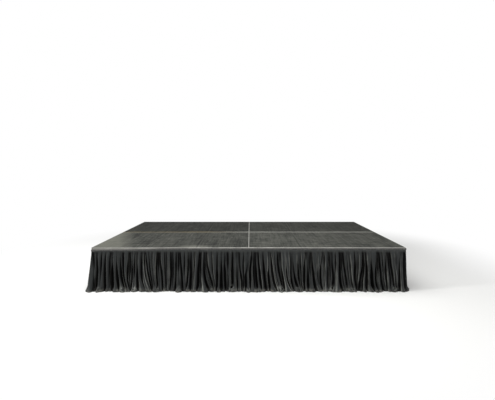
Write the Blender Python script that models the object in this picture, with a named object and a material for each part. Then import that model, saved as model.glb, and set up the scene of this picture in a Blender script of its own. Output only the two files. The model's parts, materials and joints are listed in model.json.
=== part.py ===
# Portable stage, 16 ft by 8 ft: four framed decks on plug-in legs, with a pleated skirt on three sides.
# Metres, +Z up. The origin is on the floor under the middle of the stage, and the audience is at -Y.

from math import cos, pi, sin

import bmesh
import bpy
from mathutils import Matrix, Vector

# Overall sizes
DECK_PITCH_X = 2.4384          # one deck is 8 ft long, joint to joint
DECK_PITCH_Y = 1.2192          # and 4 ft wide
STAGE_HEIGHT = 0.66            # floor to walking surface
SEAM_GAP = 0.0006              # air between two neighbouring frames
TOUCH_GAP = 0.0003             # air between two pieces that rest on each other

# Deck board
BOARD_THICKNESS = 0.018
BOARD_PLAY = 0.0005            # all round the board, inside the lip
BOARD_CHAMFER = 0.001

# Extruded perimeter rail: u runs inwards from its outer face, and depth runs down from its top
RAIL_DEPTH = 0.100
RAIL_WALL = 0.004
LIP_WIDTH = 0.006              # edge of the rail that shows beside the board
LIP_CHAMFER = 0.0015
LEDGE_REACH = 0.032            # board ledge, from the outer face
LEDGE_WALL = 0.004
FLANGE_REACH = 0.036           # bottom flange, from the outer face
FLANGE_LIP = 0.008             # upturned edge of the bottom flange
SLOT_DROP = 0.060              # middle of the T-slot, below the rail's top
SLOT_MOUTH = 0.010
SLOT_WIDTH = 0.020
SLOT_DEPTH = 0.008
SLOT_WALL = 0.003

# Cross joists, at the third points of each deck
JOIST_WIDTH = 0.040
JOIST_DEPTH = 0.060
JOIST_WALL = 0.003
JOIST_FOOT = 0.012             # outward foot on each side of the joist

# Corner sockets
SOCKET_INSET = 0.046           # leg axis, from both outer faces
SOCKET_BORE_PLAY = 0.0006      # leg to bore, on the radius
SOCKET_WALL = 0.0045
SOCKET_BELOW_RAIL = 0.008
GUSSET_SIZE = 0.095            # corner plate over the socket, from the outer faces
GUSSET_THICKNESS = 0.005
GUSSET_CUT = 0.040             # inner corner of the plate, cut off at 45 degrees
BOSS_DROP = 0.068              # clamp screw axis, below the deck's top
BOSS_RADIUS = 0.013
BOSS_LENGTH = 0.014

# Plug-in legs
LEG_RADIUS = 0.02415           # 48.3 mm tube
LEG_WALL = 0.004
LEG_SIDES = 12
LEG_PLUG_LENGTH = 0.045        # threaded plug in the foot of the leg

# T-handle clamp screws
CLAMP_RADIUS = 0.006
CLAMP_SIDES = 8
CLAMP_STEM_OUT = 0.018         # boss to the middle of the handle, when clamped
HANDLE_RADIUS = 0.005
HANDLE_LENGTH = 0.070

# Screw feet
PAD_RADIUS = 0.040
PAD_EDGE = 0.010               # height of the pad's rim
PAD_HEIGHT = 0.018
PAD_BEVEL = 0.004
FOOT_NUT_RADIUS = 0.015
FOOT_NUT_HEIGHT = 0.010
FOOT_STEM_RADIUS = 0.010
FOOT_STEM_LENGTH = 0.095

# Skirt
SKIRT_DROP = 0.020             # bare rail face above the header tape
TAPE_HEIGHT = 0.028
TAPE_THICKNESS = 0.005         # tape and the gathered cloth sewn into it
CLOTH_THICKNESS = 0.002
HEM_GAP = 0.0005
FOLD_PITCH = 0.065
FOLD_FLANK = 0.22              # share of a fold that each of its sides takes
FOLD_DEPTH_TAPE = 0.002        # pressed flat where the folds enter the tape
FOLD_DEPTH_HEM = 0.034
HEM_STAND_OFF = 0.006          # valley of the folds, out from the rail at the hem
LEFT_FLARE = 0.012             # extra spread of the left front corner at the hem
RIGHT_FLARE = -0.014           # the right front corner hangs almost straight
FLARE_REACH = 0.45             # length of edge that the flare fades out over
SECTION_LENGTH = 3.6576        # the long front section is 12 ft
SECTION_GAP = 0.003            # between two sections of skirt
MITRE_GAP = 0.0008             # between two skirts at a corner, each side

DECKS = {"fl": (-1, -1), "fr": (1, -1), "bl": (-1, 1), "br": (1, 1)}
CORNERS = {1: (-1, -1), 2: (1, -1), 3: (1, 1), 4: (-1, 1)}

FRAME_LENGTH = DECK_PITCH_X - SEAM_GAP
FRAME_WIDTH = DECK_PITCH_Y - SEAM_GAP
STAGE_HALF_X = DECK_PITCH_X - SEAM_GAP / 2
STAGE_HALF_Y = DECK_PITCH_Y - SEAM_GAP / 2
BOARD_BED = BOARD_THICKNESS + TOUCH_GAP
SLOT_BACK = RAIL_WALL + SLOT_DEPTH
GUSSET_TOP = BOARD_BED + TOUCH_GAP
GUSSET_BOTTOM = GUSSET_TOP + GUSSET_THICKNESS
SOCKET_BORE_RADIUS = LEG_RADIUS + SOCKET_BORE_PLAY
SOCKET_RADIUS = SOCKET_BORE_RADIUS + SOCKET_WALL
SOCKET_BOTTOM = RAIL_DEPTH + SOCKET_BELOW_RAIL
BOSS_END = SOCKET_RADIUS + BOSS_LENGTH
CLAMP_HOLE_RADIUS = (CLAMP_RADIUS + TOUCH_GAP) / cos(pi / CLAMP_SIDES)
CLAMP_TIP = LEG_RADIUS * cos(pi / LEG_SIDES) + TOUCH_GAP
HANDLE_OUT = BOSS_END + CLAMP_STEM_OUT
LEG_TOP = STAGE_HEIGHT - GUSSET_BOTTOM - TOUCH_GAP
LEG_BOTTOM = PAD_HEIGHT + FOOT_NUT_HEIGHT + TOUCH_GAP
LEG_BORE_RADIUS = LEG_RADIUS - LEG_WALL
PLUG_BORE_RADIUS = FOOT_STEM_RADIUS + TOUCH_GAP
TAPE_TOP = STAGE_HEIGHT - SKIRT_DROP
TAPE_BOTTOM = TAPE_TOP - TAPE_HEIGHT


def clear_scene():
    for item in list(bpy.data.objects):
        bpy.data.objects.remove(item)


def make_material(name, colour, roughness, metallic):
    material = bpy.data.materials.new(name)
    material.use_nodes = True
    shader = material.node_tree.nodes["Principled BSDF"]
    shader.inputs["Base Color"].default_value = (*colour, 1)
    shader.inputs["Roughness"].default_value = roughness
    shader.inputs["Metallic"].default_value = metallic
    material.diffuse_color = (*colour, 1)
    return material


def add_object(name, mesh, location=(0, 0, 0)):
    item = bpy.data.objects.new(name, mesh)
    item.location = location
    bpy.context.scene.collection.objects.link(item)
    return item


def finish_mesh(name, work):
    """Turns a bmesh into a mesh with its faces pointing out."""
    bmesh.ops.recalc_face_normals(work, faces=work.faces)
    mesh = bpy.data.meshes.new(name)
    work.to_mesh(mesh)
    work.free()
    return mesh


def shade_round(mesh):
    mesh.shade_smooth()
    mesh.set_sharp_from_angle(angle=pi / 5)


def prism(name, outline, low, high):
    """A flat outline in X and Y, extruded from low to high."""
    work = bmesh.new()
    base = work.faces.new([work.verts.new((x, y, low)) for x, y in outline])
    risen = bmesh.ops.extrude_face_region(work, geom=[base])["geom"]
    tops = [part for part in risen if isinstance(part, bmesh.types.BMVert)]
    bmesh.ops.translate(work, verts=tops, vec=(0, 0, high - low))
    return finish_mesh(name, work)


def turned(name, profile, sides):
    """A profile of radius and height points, turned about Z. A radius of 0 closes the shape on its axis."""
    work = bmesh.new()
    rings = []
    for radius, height in profile:
        if radius == 0:
            rings.append([work.verts.new((0, 0, height))])
            continue
        steps = [2 * pi * step / sides for step in range(sides)]
        rings.append([work.verts.new((radius * cos(a), radius * sin(a), height)) for a in steps])
    pairs = list(zip(rings, rings[1:]))
    if len(rings[0]) > 1:
        pairs.append((rings[-1], rings[0]))
    for low, high in pairs:
        for step in range(sides):
            after = (step + 1) % sides
            lower = [low[step % len(low)], low[after % len(low)]]
            upper = [high[after % len(high)], high[step % len(high)]]
            work.faces.new(list(dict.fromkeys(lower + upper)))
    return finish_mesh(name, work)


def rod(name, radius, start, end, sides):
    """A closed rod along Z."""
    work = bmesh.new()
    long = end - start
    bmesh.ops.create_cone(work, cap_ends=True, segments=sides, radius1=radius, radius2=radius, depth=long)
    bmesh.ops.translate(work, verts=work.verts, vec=(0, 0, start + long / 2))
    return finish_mesh(name, work)


def boolean(target, tool_mesh, operation, placing=Matrix.Identity(4)):
    """Joins a shape to the target, or cuts it out, and keeps the result as the target's mesh."""
    tool = add_object("tool", tool_mesh)
    tool.matrix_world = placing
    tool.hide_render = True
    tool.display_type = "WIRE"
    change = target.modifiers.new(operation.lower(), "BOOLEAN")
    change.operation = operation
    change.solver = "EXACT"
    change.object = tool
    bpy.context.view_layer.update()
    result = bpy.data.meshes.new_from_object(target.evaluated_get(bpy.context.evaluated_depsgraph_get()))
    target.modifiers.clear()
    target.data = result
    bpy.data.objects.remove(tool)


def rail_profile():
    """The rail's section as (u, depth) points: lip, board ledge, T-slot, and a bottom flange."""
    slot_top = SLOT_DROP - SLOT_WIDTH / 2
    slot_bottom = SLOT_DROP + SLOT_WIDTH / 2
    mouth_top = SLOT_DROP - SLOT_MOUTH / 2
    mouth_bottom = SLOT_DROP + SLOT_MOUTH / 2
    under_ledge = BOARD_BED + LEDGE_WALL
    box_back = SLOT_BACK + SLOT_WALL
    inner = [
        (LIP_CHAMFER, 0),
        (LIP_WIDTH, 0),
        (LIP_WIDTH, BOARD_BED),
        (LEDGE_REACH, BOARD_BED),
        (LEDGE_REACH, under_ledge),
        (RAIL_WALL, under_ledge),
        (RAIL_WALL, slot_top - SLOT_WALL),
        (box_back, slot_top - SLOT_WALL),
        (box_back, slot_bottom + SLOT_WALL),
        (RAIL_WALL, slot_bottom + SLOT_WALL),
        (RAIL_WALL, RAIL_DEPTH - RAIL_WALL),
        (FLANGE_REACH - RAIL_WALL, RAIL_DEPTH - RAIL_WALL),
        (FLANGE_REACH - RAIL_WALL, RAIL_DEPTH - FLANGE_LIP),
        (FLANGE_REACH, RAIL_DEPTH - FLANGE_LIP),
        (FLANGE_REACH, RAIL_DEPTH),
    ]
    outer = [
        (0, RAIL_DEPTH),
        (0, mouth_bottom),
        (RAIL_WALL, mouth_bottom),
        (RAIL_WALL, slot_bottom),
        (SLOT_BACK, slot_bottom),
        (SLOT_BACK, slot_top),
        (RAIL_WALL, slot_top),
        (RAIL_WALL, mouth_top),
        (0, mouth_top),
        (0, LIP_CHAMFER),
    ]
    return inner + outer


def mitred_rail():
    """The rail's section run round the deck, with mitred corners. Its top is at z = 0."""
    work = bmesh.new()
    profile = rail_profile()
    rings = []
    for side_x, side_y in CORNERS.values():
        ring = []
        for u, depth in profile:
            place = (side_x * (FRAME_LENGTH / 2 - u), side_y * (FRAME_WIDTH / 2 - u), -depth)
            ring.append(work.verts.new(place))
        rings.append(ring)
    for index, ring in enumerate(rings):
        after = rings[(index + 1) % len(rings)]
        for step in range(len(profile)):
            above = (step + 1) % len(profile)
            work.faces.new((ring[step], ring[above], after[above], after[step]))
    return finish_mesh("mitred_rail", work)


def joist_mesh():
    """An inverted channel with outward feet, run between the two long rails."""
    half = JOIST_WIDTH / 2
    top = -BOARD_BED - TOUCH_GAP
    low = top - JOIST_DEPTH
    toe = half + JOIST_FOOT
    outer = [(toe, low), (toe, low + JOIST_WALL), (half, low + JOIST_WALL), (half, top)]
    inner = [(half - JOIST_WALL, top - JOIST_WALL), (half - JOIST_WALL, low)]
    right = outer + [(-x, z) for x, z in reversed(outer)]
    section = right + [(-x, z) for x, z in reversed(inner)] + inner
    reach = FRAME_WIDTH / 2 - SLOT_BACK - SLOT_WALL / 2
    work = bmesh.new()
    face = work.faces.new([work.verts.new((x, -reach, z)) for x, z in section])
    moved = bmesh.ops.extrude_face_region(work, geom=[face])["geom"]
    ends = [part for part in moved if isinstance(part, bmesh.types.BMVert)]
    bmesh.ops.translate(work, verts=ends, vec=(0, 2 * reach, 0))
    return finish_mesh("joist", work)


def gusset_outline(side_x, side_y):
    """The corner plate: square to the rails, with its inner corner cut off."""
    near = SLOT_BACK + SLOT_WALL
    points = [(near, near), (GUSSET_SIZE, near), (GUSSET_SIZE, GUSSET_SIZE - GUSSET_CUT)]
    points += [(GUSSET_SIZE - GUSSET_CUT, GUSSET_SIZE), (near, GUSSET_SIZE)]
    return [(side_x * (FRAME_LENGTH / 2 - u), side_y * (FRAME_WIDTH / 2 - v)) for u, v in points]


def inward_turn(side_x, side_y):
    """Turns local +Z to point from a corner's leg axis towards the middle of its deck."""
    inward = Vector((-side_x, -side_y, 0)).normalized()
    across = Vector((0, 0, 1))
    return Matrix((across.cross(inward), across, inward)).transposed().to_4x4()


def add_corner(frame, side_x, side_y):
    """Welds a leg socket, its cover plate and its clamp boss into one corner, then bores them."""
    x = side_x * (FRAME_LENGTH / 2 - SOCKET_INSET)
    y = side_y * (FRAME_WIDTH / 2 - SOCKET_INSET)
    upright = Matrix.Translation((x, y, 0))
    across = Matrix.Translation((x, y, -BOSS_DROP)) @ inward_turn(side_x, side_y)
    plate = prism("gusset", gusset_outline(side_x, side_y), -GUSSET_BOTTOM, -GUSSET_TOP)
    socket = rod("socket", SOCKET_RADIUS, -SOCKET_BOTTOM, -(GUSSET_TOP + GUSSET_BOTTOM) / 2, LEG_SIDES)
    boss = rod("boss", BOSS_RADIUS, SOCKET_BORE_RADIUS, BOSS_END, CLAMP_SIDES)
    bore = rod("bore", SOCKET_BORE_RADIUS, -2 * SOCKET_BOTTOM, -GUSSET_BOTTOM, LEG_SIDES)
    hole = rod("hole", CLAMP_HOLE_RADIUS, LEG_RADIUS / 2, 2 * BOSS_END, CLAMP_SIDES)
    boolean(frame, plate, "UNION")
    boolean(frame, socket, "UNION", upright)
    boolean(frame, boss, "UNION", across)
    boolean(frame, bore, "DIFFERENCE", upright)
    boolean(frame, hole, "DIFFERENCE", across)


def frame_mesh():
    """One welded deck frame, with its top at z = 0."""
    frame = add_object("frame_work", mitred_rail())
    for side in (-1, 1):
        boolean(frame, joist_mesh(), "UNION", Matrix.Translation((side * DECK_PITCH_X / 6, 0, 0)))
    for side_x, side_y in CORNERS.values():
        add_corner(frame, side_x, side_y)
    mesh = frame.data
    bpy.data.objects.remove(frame)
    mesh.name = "deck_frame"
    return mesh


def board_mesh():
    """One board, with its top edges broken and its top at z = 0."""
    half_x = FRAME_LENGTH / 2 - LIP_WIDTH - BOARD_PLAY
    half_y = FRAME_WIDTH / 2 - LIP_WIDTH - BOARD_PLAY
    outline = [(side_x * half_x, side_y * half_y) for side_x, side_y in CORNERS.values()]
    mesh = prism("deck_board", outline, -BOARD_THICKNESS, 0)
    work = bmesh.new()
    work.from_mesh(mesh)
    rim = [edge for edge in work.edges if all(vert.co.z > -BOARD_THICKNESS / 2 for vert in edge.verts)]
    bmesh.ops.bevel(work, geom=rim, offset=BOARD_CHAMFER, segments=1, affect="EDGES")
    work.to_mesh(mesh)
    work.free()
    return mesh


def leg_mesh():
    """A tube with an open top and a threaded plug in its foot. z = 0 is the tube's top."""
    length = LEG_TOP - LEG_BOTTOM
    profile = [
        (LEG_RADIUS, 0),
        (LEG_RADIUS, -length),
        (PLUG_BORE_RADIUS, -length),
        (PLUG_BORE_RADIUS, -length + LEG_PLUG_LENGTH),
        (LEG_BORE_RADIUS, -length + LEG_PLUG_LENGTH),
        (LEG_BORE_RADIUS, 0),
    ]
    mesh = turned("leg", profile, LEG_SIDES)
    shade_round(mesh)
    return mesh


def clamp_mesh():
    """A screw along Z, tip at the leg, with a cross handle. z = 0 is the leg's axis."""
    screw = add_object("clamp_work", rod("stem", CLAMP_RADIUS, CLAMP_TIP, HANDLE_OUT, CLAMP_SIDES))
    half = HANDLE_LENGTH / 2
    handle = rod("handle", HANDLE_RADIUS, -half, half, CLAMP_SIDES)
    cross = Matrix.Translation((0, 0, HANDLE_OUT)) @ Matrix.Rotation(pi / 2, 4, "X")
    boolean(screw, handle, "UNION", cross)
    mesh = screw.data
    bpy.data.objects.remove(screw)
    mesh.name = "leg_clamp"
    shade_round(mesh)
    return mesh


def foot_mesh():
    """A rubber pad with a nut and a threaded stem that runs up into the leg. z = 0 is the floor."""
    nut_top = PAD_HEIGHT + FOOT_NUT_HEIGHT
    stem_top = nut_top + FOOT_STEM_LENGTH
    profile = [
        (0, 0),
        (PAD_RADIUS - PAD_BEVEL, 0),
        (PAD_RADIUS, PAD_BEVEL),
        (PAD_RADIUS, PAD_EDGE),
        (FOOT_NUT_RADIUS, PAD_HEIGHT),
        (FOOT_NUT_RADIUS, nut_top),
        (FOOT_STEM_RADIUS, nut_top),
        (FOOT_STEM_RADIUS, stem_top),
        (0, stem_top),
    ]
    mesh = turned("foot", profile, LEG_SIDES)
    shade_round(mesh)
    return mesh


def fold_columns(length, mitres):
    """(distance along the edge, fold height from 0 to 1, folds passed) for each crease, three to a fold."""
    folds = max(1, round(length / FOLD_PITCH))
    pitch = length / folds
    columns = []
    for fold in range(folds):
        for share, height in ((0, 0), (FOLD_FLANK, 1), (1 - FOLD_FLANK, 1)):
            columns.append([(fold + share) * pitch, height, fold + share])
    columns.append([length, 0, folds])
    columns[0][1] = mitres[0]
    columns[-1][1] = mitres[1]
    return columns


def hem_drift(passed):
    """How far the cloth wanders sideways on its way down, as a share of the fold pitch.

    It changes slowly enough from crease to crease that no side of a fold leans back under the next.
    """
    return 0.18 * sin(1.7 * passed) + 0.12 * sin(0.61 * passed + 2.0)


def hem_fullness(fold):
    """How deep a fold is at the hem, as a share of the full depth. Neighbours merge where it is small."""
    return 0.72 + 0.28 * sin(2.3 * fold + 0.4 * sin(0.9 * fold))


def skirt_mesh(name, start, end, mitres, flares):
    """A section of skirt along +X from start to end, hung at y = 0 and standing out towards -Y.

    mitres is 1 for an end at a corner of the stage, and flares is how far each end spreads at the hem.
    """
    length = end - start
    columns = fold_columns(length, mitres)
    work = bmesh.new()

    def ends_near(along):
        return max(0, 1 - along / FLARE_REACH), max(0, 1 - (length - along) / FLARE_REACH)

    def point(along, out, height):
        left, right = ends_near(along)
        spread = (mitres[1] * right - mitres[0] * left) * (out - MITRE_GAP)
        return work.verts.new((start + along + spread, -out, height))

    top_in = []
    top_out = []
    low_in = []
    low_out = []
    for along, height, passed in columns:
        out = 2 * TOUCH_GAP + height * FOLD_DEPTH_TAPE
        top_in.append(point(along, out, TAPE_BOTTOM))
        top_out.append(point(along, out + CLOTH_THICKNESS, TAPE_BOTTOM))
        left, right = ends_near(along)
        swing = hem_drift(passed) * FOLD_PITCH * min(1, along * (length - along) / FLARE_REACH**2)
        reach = FOLD_DEPTH_HEM * hem_fullness(int(passed)) + flares[0] * left**2 + flares[1] * right**2
        out = HEM_STAND_OFF + height * max(0, reach)
        low_in.append(point(along + swing, out, HEM_GAP))
        low_out.append(point(along + swing, out + CLOTH_THICKNESS, HEM_GAP))
    for upper, lower in ((top_in, low_in), (top_out, low_out)):
        for at in range(len(columns) - 1):
            a, b, c, d = upper[at], upper[at + 1], lower[at + 1], lower[at]
            if columns[at][1] <= columns[at + 1][1]:
                work.faces.new((a, b, c))
                work.faces.new((a, c, d))
            else:
                work.faces.new((a, b, d))
                work.faces.new((b, c, d))
    for at in range(len(columns) - 1):
        work.faces.new((low_in[at], low_in[at + 1], low_out[at + 1], low_out[at]))

    step = 3
    tape = []
    for along, _, _ in columns[::step]:
        back, front = TOUCH_GAP, TOUCH_GAP + TAPE_THICKNESS
        corners = ((back, TAPE_TOP), (back, TAPE_BOTTOM), (front, TAPE_BOTTOM), (front, TAPE_TOP))
        tape.append([point(along, out, height) for out, height in corners])
    for at, (near, far) in enumerate(zip(tape, tape[1:])):
        crease = slice(at * step, (at + 1) * step + 1)
        work.faces.new((near[0], far[0], far[1], near[1]))
        work.faces.new((near[2], far[2], far[3], near[3]))
        work.faces.new((near[3], far[3], far[0], near[0]))
        work.faces.new([near[1], far[1], *reversed(top_in[crease])])
        work.faces.new([near[2], far[2], *reversed(top_out[crease])])
    for at in (0, -1):
        work.faces.new((top_in[at], top_out[at], low_out[at], low_in[at]))
        back_top, back_low, front_low, front_top = tape[at]
        work.faces.new((back_top, back_low, top_in[at], top_out[at], front_low, front_top))
    return finish_mesh(name, work)


def add_decks(parts):
    """Four boards and four frames. The decks share their meshes."""
    board = board_mesh()
    frame = frame_mesh()
    for deck, (side_x, side_y) in DECKS.items():
        place = (side_x * DECK_PITCH_X / 2, side_y * DECK_PITCH_Y / 2, STAGE_HEIGHT)
        parts.append((add_object(f"deck_board_{deck}", board, place), "phenolic_board"))
        parts.append((add_object(f"deck_frame_{deck}", frame, place), "aluminium_frame"))


def add_legs(parts):
    """A leg, a clamp screw and a foot under each corner of each deck."""
    leg = leg_mesh()
    clamp = clamp_mesh()
    foot = foot_mesh()
    for deck, (deck_x, deck_y) in DECKS.items():
        for corner, (side_x, side_y) in CORNERS.items():
            x = deck_x * DECK_PITCH_X / 2 + side_x * (FRAME_LENGTH / 2 - SOCKET_INSET)
            y = deck_y * DECK_PITCH_Y / 2 + side_y * (FRAME_WIDTH / 2 - SOCKET_INSET)
            tag = f"{deck}_{corner}"
            parts.append((add_object(f"leg_{tag}", leg, (x, y, LEG_TOP)), "aluminium_tube"))
            screw = add_object(f"leg_clamp_{tag}", clamp)
            place = Matrix.Translation((x, y, STAGE_HEIGHT - BOSS_DROP))
            screw.matrix_world = place @ inward_turn(side_x, side_y)
            parts.append((screw, "zinc_steel"))
            parts.append((add_object(f"foot_{tag}", foot, (x, y, 0)), "rubber_foot"))


def add_skirts(parts):
    """The front in two sections, and one section on each side. The back is open."""
    half = STAGE_HALF_X
    split = SECTION_LENGTH - half
    gap = SECTION_GAP / 2
    long_run = skirt_mesh("skirt_front_long", -half, split - gap, (1, 0), (LEFT_FLARE, 0))
    short_run = skirt_mesh("skirt_front_short", split + gap, half, (0, 1), (0, RIGHT_FLARE))
    for name, mesh in (("skirt_front_long", long_run), ("skirt_front_short", short_run)):
        parts.append((add_object(name, mesh, (0, -STAGE_HALF_Y, 0)), "black_satin"))
    left_run = skirt_mesh("skirt_left", -STAGE_HALF_Y, STAGE_HALF_Y, (0, 1), (0, LEFT_FLARE))
    right_run = skirt_mesh("skirt_right", -STAGE_HALF_Y, STAGE_HALF_Y, (1, 0), (RIGHT_FLARE, 0))
    left = add_object("skirt_left", left_run, (-STAGE_HALF_X, 0, 0))
    left.rotation_euler = (0, 0, -pi / 2)
    right = add_object("skirt_right", right_run, (STAGE_HALF_X, 0, 0))
    right.rotation_euler = (0, 0, pi / 2)
    parts.append((left, "black_satin"))
    parts.append((right, "black_satin"))


def paint(parts):
    looks = {
        "phenolic_board": ((0.055, 0.055, 0.052), 0.45, 0.0),
        "aluminium_frame": ((0.62, 0.62, 0.61), 0.40, 1.0),
        "aluminium_tube": ((0.66, 0.66, 0.65), 0.35, 1.0),
        "zinc_steel": ((0.55, 0.55, 0.56), 0.35, 1.0),
        "rubber_foot": ((0.030, 0.030, 0.030), 0.80, 0.0),
        "black_satin": ((0.018, 0.018, 0.019), 0.55, 0.0),
    }
    for item, look in parts:
        material = make_material(f"{look}_{item.name}", *looks[look])
        if not item.data.materials:
            item.data.materials.append(None)
        item.material_slots[0].link = "OBJECT"
        item.material_slots[0].material = material


def main():
    clear_scene()
    parts = []
    add_decks(parts)
    add_legs(parts)
    add_skirts(parts)
    paint(parts)
    bpy.context.view_layer.update()
    length, width = 2 * STAGE_HALF_X, 2 * STAGE_HALF_Y
    print(f"{len(parts)} pieces, decks {length:.4f} x {width:.4f} m, {STAGE_HEIGHT:.3f} m high")


main()
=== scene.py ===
import json
import math
import random
import bmesh
import bpy
import numpy as np
from mathutils import Matrix, Vector, noise


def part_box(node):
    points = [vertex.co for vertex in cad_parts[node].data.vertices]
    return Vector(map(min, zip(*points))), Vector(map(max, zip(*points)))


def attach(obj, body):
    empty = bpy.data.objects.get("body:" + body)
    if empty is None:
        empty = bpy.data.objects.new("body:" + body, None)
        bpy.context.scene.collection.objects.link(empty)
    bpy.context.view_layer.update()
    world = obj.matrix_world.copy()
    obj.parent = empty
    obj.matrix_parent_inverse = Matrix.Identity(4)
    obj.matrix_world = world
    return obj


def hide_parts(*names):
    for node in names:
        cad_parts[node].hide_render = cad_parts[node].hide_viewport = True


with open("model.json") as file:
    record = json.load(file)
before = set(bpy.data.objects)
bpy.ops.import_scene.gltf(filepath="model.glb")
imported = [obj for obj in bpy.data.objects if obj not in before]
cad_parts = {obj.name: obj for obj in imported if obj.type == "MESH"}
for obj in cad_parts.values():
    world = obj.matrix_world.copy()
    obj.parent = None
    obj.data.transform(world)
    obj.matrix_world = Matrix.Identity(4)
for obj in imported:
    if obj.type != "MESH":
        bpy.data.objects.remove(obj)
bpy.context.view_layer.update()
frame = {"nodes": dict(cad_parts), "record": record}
nodes = frame["nodes"]
bodyOf = {}
for body, members in frame["record"]["behaviour"]["bodies"].items():
    for member in members:
        bodyOf[member] = body
halfX, halfY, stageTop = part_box("deck_frame_br")[1]       # outer corner of the decks, back right, on top
print("frame loaded:", len(nodes), "nodes, decks", round(2 * halfX, 3), "x", round(2 * halfY, 3), "m")


# Camera: level, near the middle of the long side, at standing height
camera = {
    "place": (0.024, -6.0902, 1.86),
    "lens": 22.84,
    "sensor": 36,
    "shift": (-0.0055, -0.0602),
    "farthest": 200,
}


def makeCamera():
    data = bpy.data.cameras.new("camera")
    data.lens = camera["lens"]
    data.sensor_width = camera["sensor"]
    data.shift_x, data.shift_y = camera["shift"]
    data.clip_end = camera["farthest"]
    item = bpy.data.objects.new("camera", data)
    item.location = camera["place"]
    item.rotation_euler = (math.pi / 2, 0, 0)
    bpy.context.scene.collection.objects.link(item)
    bpy.context.scene.camera = item


makeCamera()


# Nodes and materials
def linearColour(hexText):
    parts = [int(hexText[at:at + 2], 16) / 255 for at in (1, 3, 5)]
    return (*[c / 12.92 if c <= 0.04045 else ((c + 0.055) / 1.055) ** 2.4 for c in parts], 1)


def addNode(tree, kind, sockets=(), output=0, **settings):
    # sockets, in order or by name, each take a link, a number or a hex colour; one output comes back
    # a Map Range takes the value, the range it comes from and the range it goes to
    node = tree.nodes.new("ShaderNode" + kind)
    for key, value in settings.items():
        setattr(node, key, value)
    for key, value in dict(sockets if isinstance(sockets, dict) else enumerate(sockets)).items():
        if isinstance(value, bpy.types.NodeSocket):
            tree.links.new(value, node.inputs[key])
        else:
            node.inputs[key].default_value = linearColour(value) if isinstance(value, str) else value
    return node.outputs[output]


def newMaterial(name, metallic, roughness, colour, specular=0.5, patterns=None):
    # patterns: size in millimetres, detail, roughness, and stretch in x, y and z; the scale is per metre
    material = bpy.data.materials.new(name)
    material.use_nodes = True
    tree = material.node_tree
    shader = tree.nodes["Principled BSDF"]
    shader.inputs["Metallic"].default_value = metallic
    shader.inputs["Roughness"].default_value = roughness
    shader.inputs["Base Color"].default_value = linearColour(colour)
    shader.inputs["Specular IOR Level"].default_value = specular
    place = addNode(tree, "TexCoord", output="Object")
    pattern = {"place": place}
    for key, (size, detail, rough, stretch) in (patterns or {}).items():
        stretched = addNode(tree, "Mapping", {"Vector": place, "Scale": stretch})
        sockets = {"Vector": stretched, "Scale": 1000 / size, "Detail": detail, "Roughness": rough}
        pattern[key] = addNode(tree, "TexNoise", sockets)
    return material, tree, shader, pattern


def dressShader(tree, shader, colour, layers, rough, bumps):
    # layers: how much of which tint lies over the colour; bumps: a height, its size in metres, its strength
    for amount, tint in layers:
        colour = addNode(tree, "Mix", {0: amount, 6: colour, 7: tint}, 2, data_type="RGBA")
    tree.links.new(colour, shader.inputs["Base Color"])
    if rough is not None:
        tree.links.new(rough, shader.inputs["Roughness"])
    sockets = {}
    for height, distance, strength in bumps:
        sockets.update({"Height": height, "Distance": distance, "Strength": strength})
        sockets["Normal"] = addNode(tree, "Bump", sockets)
    tree.links.new(sockets["Normal"], shader.inputs["Normal"])


# Deck boards: birch plywood under a hexagonal non-slip film
board = {
    # material, the film's colour when dry and where it is rubbed, and how much of the dust shows
    "decks": {
        "fl": ("phenolicFilmHotPressedReflectingEnd", "#3c3d3a", "#2a2b29", 1.0),
        "fr": ("phenolicFilmHotPressed", "#484945", "#333431", 1.0),
        # the back decks' film is painted darker, with less dust showing: painted shade, as the front decks
        # catch more reflection
        "bl": ("phenolicFilmHotPressedBackShaded", "#313230", "#20211f", 0.50),
        "br": ("phenolicFilmHotPressedBackRightShaded", "#393a37", "#272825", 0.60),
    },
    "scuff": "#7c7c74",
    "reflectionEnd": "#85857b",        # painted reflection: the left front deck is lighter towards its outer end
    "seamLeft": "#7d7358",
    "seamRight": "#8f8f88",
    "roughness": 0.68,
    "specular": 0.008,           # dust takes nearly all of the film's gloss
    "joists": (-1.6256, -0.8128, 0.8128, 1.6256),
    "stepUp": 0.85,              # where people step up, in metres left of the middle
    "netPitch": 0.006,           # metres from one raised hexagon to the next
    "netHeight": 0.00025,
    "patterns": {
        "patches": (312.5, 5, 0.6, (1.0, 0.8, 1.0)),          # dried spills and dust
        "drags": (29.41, 5, 0.6, (1.0, 0.07, 1.0)),           # cases are dragged front to back
        "sweeps": (83.33, 6, 0.65, (0.5, 1.0, 1.0)),          # a broom's width of streaks
        "scratches": (10.526, 3, 0.6, (1.0, 0.05, 1.0)),      # real ones are 1 mm wide: coarser, to show
        "crossed": (16.667, 3, 0.6, (0.08, 1.0, 1.0)),        # the same, from side to side
        "grain": (1.4286, 3, 0.6, (1.0, 1.0, 1.0)),           # paper under the film, ten times too coarse
    },
}


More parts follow.
